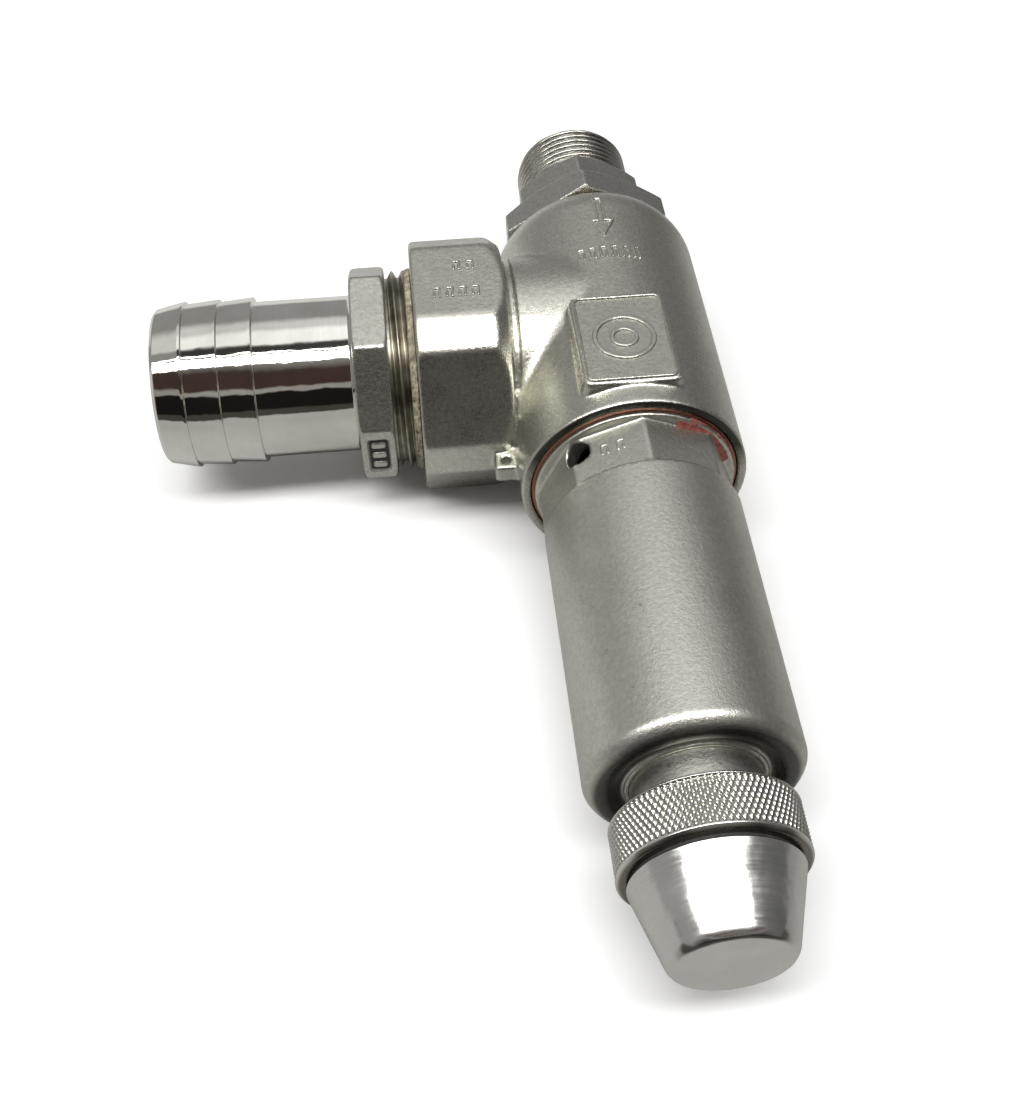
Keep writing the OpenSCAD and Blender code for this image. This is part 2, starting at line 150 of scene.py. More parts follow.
# %% Outline helpers
def eased(outline, bites, steps=4):
    """Each corner p becomes the quadratic curve from p + bite towards its neighbours, pulled towards p."""
    outline = np.asarray(outline, float)
    bites = np.broadcast_to(bites, len(outline))
    before = np.roll(outline, 1, axis=0) - outline
    after = np.roll(outline, -1, axis=0) - outline
    t = np.linspace(0, 1, steps + 1)[:, None]
    curve = []
    for p, to_last, to_next, bite in zip(outline, before, after, bites):
        reach = min(bite, 0.4 * np.linalg.norm(to_last), 0.4 * np.linalg.norm(to_next))
        start = to_last / np.linalg.norm(to_last) * reach
        stop = to_next / np.linalg.norm(to_next) * reach
        curve.append(p + 1.25 * start)
        curve.extend(p + start * (1 - t) ** 2 + stop * t ** 2)
        curve.append(p + 1.25 * stop)
    return np.array(curve)


def divided(outline, step):
    """Cuts each side of a closed outline into equal parts no longer than step."""
    parts = []
    for a, b in zip(outline, np.roll(outline, -1, axis=0)):
        count = max(1, math.ceil(np.linalg.norm(b - a) / step))
        parts.append(a + (b - a) * np.linspace(0, 1, count, endpoint=False)[:, None])
    return np.concatenate(parts)


def ring_quads(rows, columns):
    """Faces of a grid whose rows and columns both close on themselves."""
    i, j = np.meshgrid(np.arange(rows), np.arange(columns), indexing="ij")
    k, m = (i + 1) % rows, (j + 1) % columns
    return np.stack([i * columns + j, i * columns + m, k * columns + m, k * columns + j], -1).reshape(-1, 4)


def turned(outline, axis, turns=240, cut=None):
    """Carries an outline of (radius, place) round the axis; cut changes the radius by place and angle."""
    angle = np.linspace(0, 2 * np.pi, turns, endpoint=False)
    radius, along = (np.repeat(outline[:, k:k + 1], turns, axis=1) for k in (0, 1))
    if cut is not None:
        radius = cut(radius, along, np.broadcast_to(angle, radius.shape))
    across, up = radius * np.sin(angle), radius * np.cos(angle)
    points = [across, along, up] if axis == "spindle" else [-along, across, up]
    return np.stack(points, -1).reshape(-1, 3), ring_quads(len(outline), turns)


# %% [markdown]
# ## Cast and milled parts
# A casting blends where two shapes meet, which a grid cannot follow. So these parts are fields: a
# function that is negative inside the metal. The mesh is a surface net: one point in each small cell
# that the surface passes through, slid on to the surface along the field's slope.

# %% Field helpers
def blend_join(a, b, k):
    """Union of two fields with a fillet of about k millimetres."""
    h = np.clip(0.5 + 0.5 * (b - a) / k, 0, 1)
    return b * (1 - h) + a * h - k * h * (1 - h)


def blend_cut(a, b, k):
    """Overlap of two fields with an edge eased by about k millimetres."""
    return -blend_join(-a, -b, k)


def rounded(a, b):
    """Distance to the corner where a and b are both negative, which is round on its outside."""
    return np.hypot(np.maximum(a, 0), np.maximum(b, 0)) + np.minimum(np.maximum(a, b), 0)


def prism(across, up, reaches, first, turn, ease):
    """Flats round an axis: flat k looks towards first + k / n of a turn, and stands reaches[k] out."""
    sides = None
    for k, reach in enumerate(reaches):
        angle = turn + math.radians(first + 360 / len(reaches) * k)
        plane = across * math.sin(angle) + up * math.cos(angle) - reach
        sides = plane if sides is None else blend_cut(sides, plane, ease)
    return sides


def slope(field, points, step=0.01):
    """The field's gradient, from differences taken a short way along each axis."""
    shifts = np.eye(3) * step
    return np.stack([(field(points + s) - field(points - s)) / (2 * step) for s in shifts], -1)


def surface_net(field, low, high, cell):
    """Points and faces of the field's zero surface inside a box, from one grid of samples."""
    axes = [np.arange(a, b + cell, cell) for a, b in zip(low, high)]
    grid = np.stack(np.meshgrid(*axes, indexing="ij"), -1)
    value = field(grid)
    solid = value < 0
    corners = [(i, j, k) for i in (0, 1) for j in (0, 1) for k in (0, 1)]
    pairs = [(a, b) for a in corners for b in corners if sum(b) - sum(a) == 1]
    edges = [(a, b) for a, b in pairs if all(q >= p for p, q in zip(a, b))]
    cut = tuple(n - 1 for n in solid.shape)
    count = sum(solid[i:i + cut[0], j:j + cut[1], k:k + cut[2]].astype(np.int8) for i, j, k in corners)
    mixed = (count > 0) & (count < 8)
    number = np.full(cut, -1)
    number[mixed] = np.arange(mixed.sum())
    base = np.argwhere(mixed)
    total, hits = np.zeros((len(base), 3)), np.zeros((len(base), 1))
    for a, b in edges:
        va, vb = value[tuple((base + a).T)], value[tuple((base + b).T)]
        crossed = ((va < 0) != (vb < 0))[:, None]
        part = (va / np.where(va == vb, 1, va - vb))[:, None]
        total += crossed * (np.array(a) + (np.array(b) - a) * part)
        hits += crossed
    points = np.array(low) + (base + total / hits) * cell
    for _ in range(5):
        g = slope(field, points)
        move = -field(points)[:, None] * g / np.maximum((g ** 2).sum(-1, keepdims=True), 0.2)
        points = points + np.clip(move, -0.5 * cell, 0.5 * cell)
    faces = []
    for axis in range(3):
        b, c = (axis + 1) % 3, (axis + 2) % 3
        first = np.moveaxis(solid, (axis, b, c), (0, 1, 2))
        cells = np.moveaxis(number, (axis, b, c), (0, 1, 2))
        flips = first[:-1, 1:-1, 1:-1] != first[1:, 1:-1, 1:-1]
        out = first[:-1, 1:-1, 1:-1][flips][:, None]
        around = (cells[:, :-1, :-1], cells[:, 1:, :-1], cells[:, 1:, 1:], cells[:, :-1, 1:])
        quad = np.stack([neighbour[flips] for neighbour in around], -1)
        faces.append(np.where(out, quad, quad[:, ::-1]))
    return points, np.concatenate(faces)


def tube_field(radius, along, r, start, stop):
    """A cylinder of radius r between two planes."""
    return np.maximum(radius - r, np.maximum(along - stop, start - along))


# %% [markdown]
# ## Raised marks
# Foundry marks are low reliefs with soft edges. Each is a small slab that sits on the surface below:
# its height is a smooth function of the distance to the mark's outline, and it sinks out of sight
# elsewhere. Arrays of that distance are built from a few shapes: bars, rings and strokes.

# %% Relief helpers
def bar(u, v, centre, half, corner=0.2):
    """Distance to a rectangle with rounded corners."""
    du = np.abs(u - centre[0]) - half[0] + corner
    dv = np.abs(v - centre[1]) - half[1] + corner
    return rounded(du, dv) - corner


def ring(u, v, centre, radius, width):
    """Distance to a ring of the given line width."""
    return np.abs(np.hypot(u - centre[0], v - centre[1]) - radius) - width / 2


def stroke(u, v, start, stop, width):
    """Distance to a straight line with round ends."""
    du, dv = stop[0] - start[0], stop[1] - start[1]
    t = np.clip(((u - start[0]) * du + (v - start[1]) * dv) / (du * du + dv * dv), 0, 1)
    return np.hypot(u - start[0] - t * du, v - start[1] - t * dv) - width / 2


def outline_strokes(u, v, corners, width):
    """Distance to a closed line drawn through the corners."""
    pairs = zip(corners, corners[1:] + corners[:1])
    return np.minimum.reduce([stroke(u, v, a, b, width) for a, b in pairs])


def slab_quads(m, n):
    """Faces of a closed slab made of a top grid, a bottom grid and the strip between their rims."""
    i, j = np.meshgrid(np.arange(m - 1), np.arange(n - 1), indexing="ij")
    top = np.stack([i * n + j, i * n + j + 1, (i + 1) * n + j + 1, (i + 1) * n + j], -1).reshape(-1, 4)
    rim = np.concatenate([np.arange(n), np.arange(1, m) * n + n - 1, (m - 1) * n + np.arange(n - 2, -1, -1),
                          np.arange(m - 2, 0, -1) * n])
    after = np.roll(rim, -1)
    side = np.stack([after, rim, rim + m * n, after + m * n], -1)
    return np.concatenate([top, top[:, ::-1] + m * n, side])


def relief(name, u_range, v_range, distance, place, rise, material,
           step=0.12, soft=0.22, sink=0.15, depth=0.6):
    """A slab whose top is raised by rise inside the mark and sinks below the surface outside it."""
    u, v = np.meshgrid(np.arange(*u_range, step), np.arange(*v_range, step), indexing="ij")
    t = np.clip(0.5 - distance(u, v) / soft, 0, 1)
    height = (rise + sink) * t * t * (3 - 2 * t) - sink
    points = np.concatenate([place(u, v, level).reshape(-1, 3) for level in (height, 0 * u - depth)])
    return build_piece(name, points, slab_quads(*u.shape), "valve", material)


# %% [markdown]
# ## Finishes
# All the steels share one recipe: a metal whose colour wanders a little, a roughness that wanders with
# it, and a bump at the scale of the real texture. Only the numbers and the stretch of the noise differ:
# blasting leaves even grain, polishing and turning leave fine lines round the part.

# %% Material helpers
def feed(tree, socket, value):
    """Links value to the socket if it comes out of a node, and otherwise sets it as the constant."""
    if isinstance(value, bpy.types.NodeSocket):
        tree.links.new(value, socket)
    elif socket.type == "RGBA":
        socket.default_value = (*value, 1)
    else:
        socket.default_value = value


class Recipe:
    """A short way to add and link the nodes of one material."""

    def __init__(self, name, metallic=1.0):
        self.material = bpy.data.materials.new(name)
        self.material.use_nodes = True
        self.tree = self.material.node_tree
        self.shader = self.tree.nodes["Principled BSDF"]
        self.shader.inputs["Metallic"].default_value = metallic
        self.place = self.tree.nodes.new("ShaderNodeTexCoord").outputs["Object"]

    def node(self, kind, settings=None, **inputs):
        """Adds one node and feeds its inputs by name."""
        made = self.tree.nodes.new("ShaderNode" + kind)
        for key, value in (settings or {}).items():
            setattr(made, key, value)
        for key, value in inputs.items():
            feed(self.tree, made.inputs[key], value)
        return made

    def noise(self, scale, stretch=(1, 1, 1), detail=3.0, roughness=0.5, offset=(0, 0, 0)):
        """Noise over the piece, about 0.3 to 0.7."""
        moved = self.node("Mapping", Vector=self.place, Scale=stretch, Location=offset)
        made = self.node("TexNoise", Vector=moved.outputs[0], Scale=scale, Detail=detail,
                         Roughness=roughness)
        return made.outputs["Fac"]

    def spread(self, value, low, high, start=0.3, stop=0.7):
        """A straight line from low at start to high at stop."""
        made = self.node("MapRange", Value=value)
        for key, number in (("From Min", start), ("From Max", stop), ("To Min", low), ("To Max", high)):
            made.inputs[key].default_value = number
        return made.outputs[0]

    def mix(self, factor, a, b):
        """The colour that lies factor of the way from a to b."""
        made = self.tree.nodes.new("ShaderNodeMix")
        made.data_type = "RGBA"
        for socket, value in ((made.inputs[0], factor), (made.inputs[6], a), (made.inputs[7], b)):
            feed(self.tree, socket, value)
        return made.outputs[2]

    def math(self, operation, a, b):
        """One sum or product of two values."""
        made = self.tree.nodes.new("ShaderNodeMath")
        made.operation = operation
        for socket, value in zip(made.inputs, (a, b)):
            feed(self.tree, socket, value)
        return made.outputs[0]

    def bump(self, height, depth, normal=None):
        """A bump of the given depth in metres, over another bump if there is one."""
        made = self.node("Bump", Height=height, Distance=depth)
        made.inputs["Strength"].default_value = 1.0
        if normal is not None:
            self.tree.links.new(normal, made.inputs["Normal"])
        return made.outputs[0]

    def finish(self, colour, roughness, normal=None):
        """Feeds the shader and hands over the material."""
        for name, value in (("Base Color", colour), ("Roughness", roughness), ("Normal", normal)):
            if value is not None:
                feed(self.tree, self.shader.inputs[name], value)
        return self.material


def steel(name, light, dark, rough, grain, depth, stretch=(1, 1, 1), patch=90, swing=0.08, dents=0.0):
    """Metal with one grain; stretch turns the grain into lines, and dents bend the reflections."""
    r = Recipe(name)
    patches = r.noise(patch, detail=4.0, roughness=0.6)
    lines = r.noise(grain, stretch, detail=3.0, roughness=0.65)
    colour = r.mix(r.spread(patches, 0, 1), dark, light)
    colour = r.mix(r.spread(lines, 0, 0.35), colour, dark)
    wander = r.spread(patches, rough - swing / 2, rough + swing / 2)
    roughness = r.math("ADD", wander, r.spread(lines, -swing / 2, swing / 2))
    wavy = r.bump(r.noise(170, detail=2.0, roughness=0.4, offset=(7, 0, 3)), dents) if dents else None
    return r.finish(colour, roughness, r.bump(lines, depth, wavy))


# %% [markdown]
# ### Bead-blasted casting
# Blasting peens the skin into grains of a few tenths of a millimetre, over the slow waviness of the
# casting. Two sizes of bump, one over the other, give both.

# %% Casting finish
def blasted(name, light, dark, rough, shade_mask=None):
    """Two grains of bump, dark in the hollows, with faint stains; the optional mask marks places that get
    painted shade.
    """
    r = Recipe(name)
    fine = r.noise(4200, detail=2.0, roughness=0.6)
    coarse = r.noise(1300, detail=3.0, roughness=0.55)
    stains = r.noise(70, detail=6.0, roughness=0.7, offset=(3, 1, 2))
    specks = r.noise(420, detail=4.0, roughness=0.7, offset=(1, 5, 0))
    colour = r.mix(r.spread(coarse, 0, 1), dark, light)
    colour = r.mix(r.spread(stains, 0, 0.35, 0.5, 0.75), colour, tuple(0.72 * c for c in dark))
    colour = r.mix(r.spread(specks, 0, 0.6, 0.66, 0.76), colour, tuple(0.35 * c for c in dark))
    # Where the mask is set, the colour turns near-black: painted shade.
    if shade_mask is not None:
        colour = r.mix(shade_mask(r), colour, PAINTED_SHADE)
    roughness = r.math("ADD", r.spread(fine, rough - 0.05, rough + 0.05), r.spread(stains, -0.04, 0.05))
    normal = r.bump(fine, 0.00005, r.bump(coarse, 0.00006))
    return r.finish(colour, roughness, normal)


def all_of(recipe, *parts):
    """Product of masks."""
    product = parts[0]
    for part in parts[1:]:
        product = recipe.math("MULTIPLY", product, part)
    return product


def cylinder_place(recipe):
    """Sockets for the distance from the spindle, for Y and for Z, in metres."""
    split = recipe.node("SeparateXYZ", Vector=recipe.place)
    flat = recipe.node("VectorMath", {"operation": "MULTIPLY"})
    recipe.tree.links.new(recipe.place, flat.inputs[0])
    flat.inputs[1].default_value = (1, 0, 1)
    length = recipe.node("VectorMath", {"operation": "LENGTH"})
    recipe.tree.links.new(flat.outputs[0], length.inputs[0])
    return length.outputs["Value"], split.outputs["Y"], split.outputs["Z"]


def below(recipe, value, limit, soft):
    """1 where value is under limit, 0 above limit + soft; both in valve millimetres from zero."""
    return recipe.spread(value, 1, 0, limit * MM, (limit + soft) * MM)


def body_painted_shade(recipe):
    """Painted shade on the upper part of the barrel's end face, where the bonnet enters."""
    radius, y, z = cylinder_place(recipe)
    inside, end_face = below(recipe, radius, 22.3, 0.3), below(recipe, y, -37.7 + CROSSING[1] / MM, 0.3)
    return all_of(recipe, inside, end_face, recipe.spread(z, 0, 0.92, 2 * MM, 9 * MM))


def bonnet_painted_shade(recipe):
    """Painted shade in the dish round the neck and on the bevel beside it."""
    radius, y = cylinder_place(recipe)[:2]
    inside, end_face = below(recipe, radius, 17.3, 1.1), below(recipe, y, -106.0 + CROSSING[1] / MM, 0.2)
    # Near-black painted shade in the dish, fading out at the neck's root.
    dish_shade = all_of(recipe, inside, end_face, recipe.spread(radius, 0, 1, 12.5 * MM, 13.1 * MM))
    return recipe.math("MULTIPLY", dish_shade, 0.88)


# Near-black colour of the painted shade in the recesses of the body and the bonnet.
PAINTED_SHADE = (0.035, 0.034, 0.027)
WARM_LIGHT = (0.665, 0.655, 0.585)
WARM_DARK = (0.51, 0.50, 0.44)
# The casting's colour carries painted shade on the upper part of the barrel's end face.
cast_skin = blasted("blasted_casting", WARM_LIGHT, WARM_DARK, 0.29, body_painted_shade)
inlet_skin = blasted("milled_and_blasted_bar", (0.62, 0.61, 0.56), (0.47, 0.46, 0.42), 0.28)
collar_skin = blasted("satin_collar", (0.60, 0.59, 0.53), (0.43, 0.42, 0.37), 0.30)

# %% [markdown]
# ### Polished and machined steels
# The bonnet and the neck bush are blasted too, a little paler than the body. Parts that were polished
# while they turned keep very faint lines round their axis: noise that is stretched a lot across the
# axis and little along it.

# %% Steel finishes
# The bonnet's colour carries painted shade in the dish round the neck.
bonnet_skin = blasted("blasted_bonnet", (0.71, 0.70, 0.63), (0.57, 0.56, 0.50), 0.33, bonnet_painted_shade)


def knurled():
    """Polished points over grooves with painted shade: the colour follows the distance from the spindle."""
    r = Recipe("knurled_steel")
    radius = cylinder_place(r)[0]
    patches = r.noise(160, detail=3.0)
    metal = r.mix(r.spread(patches, 0, 1), (0.70, 0.69, 0.63), (0.84, 0.83, 0.77))
    # The dark brown at the groove bottoms is painted shade; the points keep the polished metal.
    colour = r.mix(r.spread(radius, 0, 1, 15.75 * MM, 16.15 * MM), (0.22, 0.20, 0.17), metal)
    return r.finish(colour, r.spread(patches, 0.20, 0.28))


knurl_skin = knurled()
AROUND_SPINDLE = (0.04, 1.0, 0.04)
AROUND_OUTLET = (1.0, 0.04, 0.04)
tail_skin = steel("polished_tail", (0.85, 0.84, 0.79), (0.66, 0.65, 0.59), 0.05, 2500, 0.000002,
                  AROUND_OUTLET, patch=70, swing=0.04, dents=0.0001)
cap_skin = steel("polished_cap", (0.82, 0.81, 0.77), (0.70, 0.69, 0.65), 0.22, 2200, 0.00001,
                 AROUND_SPINDLE, patch=130, swing=0.12, dents=0.0003)
neck_skin = blasted("blasted_neck", (0.70, 0.69, 0.62), (0.54, 0.53, 0.47), 0.36)
grimy_skin = steel("grimy_thread", (0.50, 0.48, 0.41), (0.20, 0.175, 0.13), 0.32, 900, 0.00003, patch=260)
thread_skin = steel("cut_thread", (0.66, 0.645, 0.60), (0.48, 0.465, 0.42), 0.24, 1800, 0.00001, patch=200)
machined_skin = steel("machined_steel", (0.70, 0.69, 0.68), (0.56, 0.55, 0.54), 0.28, 2400, 0.00002,
                      AROUND_SPINDLE)
spring_skin = steel("spring_wire", (0.40, 0.40, 0.42), (0.28, 0.28, 0.30), 0.35, 1500, 0.00002)
bronze_skin = steel("turned_bronze", (0.74, 0.58, 0.30), (0.60, 0.44, 0.22), 0.30, 2400, 0.00002,
                    AROUND_SPINDLE)
copper_skin = steel("copper_gasket", (0.56, 0.30, 0.22), (0.34, 0.16, 0.12), 0.42, 1500, 0.00004)

# %% [markdown]
# ### Rubber, sealant, lacquer and fibre
# These are not metals. Each has its own sheen and grain: rubber is smooth and dull, dried sealant is
# lumpy, old lacquer has lost its gloss, and pressed fibre is matt.

# %% Soft finishes
def dull(name, light, dark, rough, grain, depth):
    """A non-metal with one grain in its colour and its bump."""
    r = Recipe(name, metallic=0.0)
    speckle = r.noise(grain, detail=4.0, roughness=0.6)
    colour = r.mix(r.spread(speckle, 0, 1), dark, light)
    return r.finish(colour, r.spread(speckle, rough - 0.08, rough + 0.08), r.bump(speckle, depth))


rubber_skin = dull("black_rubber", (0.05, 0.05, 0.05), (0.02, 0.02, 0.02), 0.55, 1200, 0.00003)
sealant_skin = dull("dried_sealant", (0.60, 0.55, 0.40), (0.10, 0.075, 0.04), 0.5, 800, 0.0006)
lacquer_skin = dull("seal_lacquer", (0.36, 0.11, 0.085), (0.12, 0.03, 0.025), 0.5, 1100, 0.0003)
fibre_skin = dull("pressed_fibre", (0.40, 0.34, 0.28), (0.26, 0.22, 0.18), 0.8, 1500, 0.0001)
# A near-black finish that paints shade into recesses.
shadow_skin = dull("painted_shade_in_recess", (0.045, 0.04, 0.035), (0.015, 0.014, 0.012), 0.6, 900, 0.0001)
print(len(bpy.data.materials), "finishes")

# %% [markdown]
# ## The cast body
# A straight barrel, a neck of nearly the same size that leaves it at a right angle, and a twelve-sided
# boss. On the real casting the barrel and the neck flow into each other, and the boss has soft corners.

# %% Sizes of the cast body
BARREL_R, BARREL_LOW, BARREL_TOP = 22.7, span("valve_body")[0][1], span("valve_body")[1][1]
SHOULDER_R, SHOULDER_Y = 12.5, 23.0
NECK_R, BOSS_IN, BOSS_OUT = 22.2, 22.4, -span("valve_body")[0][0]
BOSS_WIDE, BOSS_NARROW, BOSS_ROLL = 49.7 / 2, 53.2 / 2, math.radians(-3)
BOSS_CONE_OUT, BOSS_CONE_IN = 47.1, 6.3
PAD_CENTRE, PAD_HALF, PAD_TOP, PAD_FOOT, PAD_LEAN = (-0.75, -20.45), (9.45, 12.55), 23.5, 18, 0.14
EYE_CENTRE, EYE_HALF, EYE_HOLE, EYE_HOLE_R = (-24.2, -27.75, -2), (3.0, 3.25, 2), (-24.9, -28.7), 1.05

# %% [markdown]
# Each hole is a radius and the places where it starts and stops. Along the spindle they are the bonnet
# thread, the chamber, the inlet spigot hole and the recess; along the outlet, the port and its thread.

# %% Holes and field of the cast body
SPINDLE_HOLES = [(18.6, -60, -25.5), (17.8, -26, 17.9), (16.0, 17, 60), (20.85, -60, -35.8)]
OUTLET_HOLES = [(16.5, 0, 31), (21.05, 30, 60)]
MOUTH_R, MOUTH_IN = 21.5, 40


def barrel_field(radius, y):
    """A cylinder whose top edge is a quarter circle, cut off flat."""
    dome = rounded(radius - (BARREL_R - SHOULDER_R), y - SHOULDER_Y) - SHOULDER_R
    return blend_cut(blend_cut(dome, y - BARREL_TOP, 0.6), BARREL_LOW - y, 0.7)


def boss_field(x, y, z):
    """Twelve flats round the outlet axis, two ends, and a cone that eases each end."""
    sides = prism(y, z, [BOSS_WIDE, BOSS_NARROW] * 6, 0, BOSS_ROLL, 0.45)
    radius, s = np.hypot(y, z), -x
    ends = np.maximum(s - BOSS_OUT, BOSS_IN - s)
    cones = np.maximum(radius * 0.75 + s * 0.66 - BOSS_CONE_OUT, radius * 0.8 - s * 0.6 - BOSS_CONE_IN)
    return blend_cut(blend_cut(sides, ends, 0.6), cones, 0.6)


def pad_field(x, y, z):
    """A rounded block that stands on the barrel, with slightly leaning sides."""
    sides = bar(x, y, PAD_CENTRE, PAD_HALF, 1.6) + PAD_LEAN * (z - PAD_TOP)
    return blend_cut(blend_cut(sides, z - PAD_TOP, 0.7), PAD_FOOT - z, 0.1)


def eye_field(x, y, z):
    """A small block with a hole for the seal wire."""
    sides = [np.abs(at - middle) - half for at, middle, half in zip((x, y, z), EYE_CENTRE, EYE_HALF)]
    hole = EYE_HOLE_R - np.hypot(x - EYE_HOLE[0], y - EYE_HOLE[1])
    return blend_cut(np.maximum.reduce(sides), hole, 0.3)


def body_bores(x, y, z):
    """All the holes together, with a chamfer at the outlet's mouth."""
    across, round_outlet, s = np.hypot(x, z), np.hypot(y, z), -x
    holes = [tube_field(across, y, *hole) for hole in SPINDLE_HOLES]
    holes += [tube_field(round_outlet, s, *hole) for hole in OUTLET_HOLES]
    mouth = np.maximum(round_outlet + s - (MOUTH_R + BOSS_OUT), MOUTH_IN - s)
    return np.minimum.reduce(holes + [mouth])


def body_field(p):
    """Barrel and neck with a fillet that narrows towards the top, then boss, pad, eye and holes."""
    x, y, z = p[..., 0], p[..., 1], p[..., 2]
    barrel = barrel_field(np.hypot(x, z), y)
    neck = np.maximum(np.hypot(y, z) - NECK_R, np.maximum(x, -x - BOSS_IN - 1))
    groove = tube_field(np.abs(np.hypot(y, z) - NECK_R), -x, 0.9, BOSS_IN - 1.9, BOSS_IN - 0.3)
    crossing = np.clip(1.04 - z * z / (BARREL_R * NECK_R), 0.04, 1)
    outer = blend_join(barrel, blend_cut(neck, -groove, 0.4), 3.4 * crossing)
    outer = blend_join(outer, boss_field(x, y, z), 0.5)
    outer = blend_join(outer, pad_field(x, y, z), 0.7)
    outer = blend_join(outer, eye_field(x, y, z), 0.5)
    return blend_cut(outer, -body_bores(x, y, z), 0.25)


# %% Mesh the cast body
points, quads = surface_net(body_field, (-BOSS_OUT - 1, BARREL_LOW - 1, -28), (24, BARREL_TOP + 1, 28), 0.52)
build_piece("cast_body", points, quads, "valve", cast_skin, ["valve_body"])

# %% [markdown]
# ## Marks on the casting
# A flow arrow in outline, a raised rim and two plain rings on the pad, and rows of plain bars
# where foundry codes would stand. The surface under each is a plane or the barrel itself.

# %% Places of the marks
def on_barrel(u, v, height):
    """u is millimetres round the barrel from the top, v is y; the radius falls along the shoulder."""
    over = np.clip((v - SHOULDER_Y) / SHOULDER_R, 0, 0.9)
    radius = BARREL_R - SHOULDER_R + SHOULDER_R * np.sqrt(1 - over ** 2) + height
    angle = u / BARREL_R
    return np.stack([radius * np.sin(angle), v, radius * np.cos(angle)], -1)


def on_pad(u, v, height):
    """u and v are x and y from the pad's centre, on its flat top."""
    return np.stack([u + PAD_CENTRE[0], v + PAD_CENTRE[1], PAD_TOP + height], -1)


def on_boss(u, v, height):
    """u is along the outlet, v is y, on the flat that faces up."""
    lift = BOSS_WIDE + height
    return np.stack([-u, v * math.cos(BOSS_ROLL) + lift * math.sin(BOSS_ROLL),
                     lift * math.cos(BOSS_ROLL) - v * math.sin(BOSS_ROLL)], -1)


ARROW = [(-0.8, 25.0), (0.8, 25.0), (0.8, 17.3), (2.4, 17.3), (0.0, 12.6), (-2.4, 17.3), (-0.8, 17.3)]
relief("flow_arrow", (-3.2, 3.4), (11.8, 25.8), lambda u, v: outline_strokes(u, v, ARROW, 0.6), on_barrel,
       0.38, cast_skin)


def code_row(u, v, starts, base, tall, width=0.5):
    """Distance to a row of pairs of upright bars joined by a short bar: a stand-in for a cast code."""
    shapes = []
    for start in starts:
        shapes.append(bar(u, v, (start, base), (width / 2, tall / 2)))
        shapes.append(bar(u, v, (start + 1.1, base - tall / 6), (width / 2, tall / 3)))
        shapes.append(bar(u, v, (start + 0.5, base + tall / 2 - width / 2), (0.7, width / 2)))
    return np.minimum.reduce(shapes)


relief("barrel_code", (-8, 9), (4, 9.6), lambda u, v: code_row(u, v, np.arange(-6.2, 7, 2.35), 6.8, 3.6),
       on_barrel, 0.35, cast_skin)
relief("boss_code", (26.5, 39.5), (-6, -1.2), lambda u, v: code_row(u, v, np.arange(28, 38, 2.6), -3.6, 2.9),
       on_boss, 0.33, cast_skin)
relief("boss_mark", (26.5, 35), (1.6, 6.4), lambda u, v: code_row(u, v, (28.6, 31.4), 4.0, 2.7),
       on_boss, 0.33, cast_skin)


def pad_mark(u, v):
    """A thin rim inside the pad's edge, and two rings in the middle."""
    inset, line = 0.85, 0.44
    rim = np.abs(bar(u, v, (0, 0), [half - inset for half in PAD_HALF], 1.2)) - line / 2
    return np.minimum.reduce([rim, ring(u, v, (0, 0), 5.8, 1.0), ring(u, v, (0, 0), 2.4, 1.0)])


relief("pad_emblem", (-9.1, 9.2), (-12.2, 12.3), pad_mark, on_pad, 0.42, cast_skin,
       step=0.14)

# %% [markdown]
# ## The inlet connector
# One bar, milled to two hexagons and cut with a pipe thread. The hexagons are a field; the thread is a
# turned outline whose radius is cut by a helix: the place along the axis less the angle's share of
# one pitch.

# %% Hexagons of the connector
HEX_TURN = math.radians(-3.5)
LARGE_HEX, LARGE_START, LARGE_STOP, LARGE_CONE = 36, 32.9, 40.6, (20.9, 38.6, 1.6, 1.9)
SMALL_HEX, SMALL_START, SMALL_STOP, SMALL_CONE = 27.5, 40, 52, (14.6, 51.9, 1.0, 1.41)
INLET_BORE_R = 9.0
FOOT, NOSE, COLLAR = (15.9, 18.4, 33.5), (12.5, 14.6, 20), (12.0, 50, 52.6)
INLET_HOLES = [(INLET_BORE_R, 10, 60), (11.02, 10, 17.5)]


def hexagon(x, y, z, across, start, stop, cone):
    """Six flats between two ends, and a cone through (r, y) of the given steepness and slant."""
    radius_at, y_at, steep, slant = cone
    block = prism(x, z, [across / 2] * 6, 30, HEX_TURN, 0.35)
    block = blend_cut(block, np.maximum(y - stop, start - y), 0.3)
    return blend_cut(block, (np.hypot(x, z) + steep * y - (radius_at + steep * y_at)) / slant, 0.3)


def connector_field(p):
    """Two hexagons, three plain lengths and a stepped bore."""
    x, y, z = p[..., 0], p[..., 1], p[..., 2]
    radius = np.hypot(x, z)
    large = hexagon(x, y, z, LARGE_HEX, LARGE_START, LARGE_STOP, LARGE_CONE)
    small = hexagon(x, y, z, SMALL_HEX, SMALL_START, SMALL_STOP, SMALL_CONE)
    plain = [tube_field(radius, y, *length) for length in (FOOT, NOSE, COLLAR)]
    metal = np.minimum.reduce([blend_join(large, small, 0.5), *plain])
    bore = np.minimum.reduce([tube_field(radius, y, *hole) for hole in INLET_HOLES])
    return blend_cut(metal, -bore, 0.15)


points, quads = surface_net(connector_field, (-21.5, 14, -21.5), (21.5, 53.2, 21.5), 0.36)
build_piece("inlet_hexagons", points, quads, "valve", inlet_skin, ["inlet_connector"])

# %% Pipe threads
INLET_CREST, INLET_PITCH, INLET_DEPTH = 13.22, 1.814, 1.16
TAIL_CREST, TAIL_PITCH, TAIL_DEPTH = 20.955, 2.309, 1.48


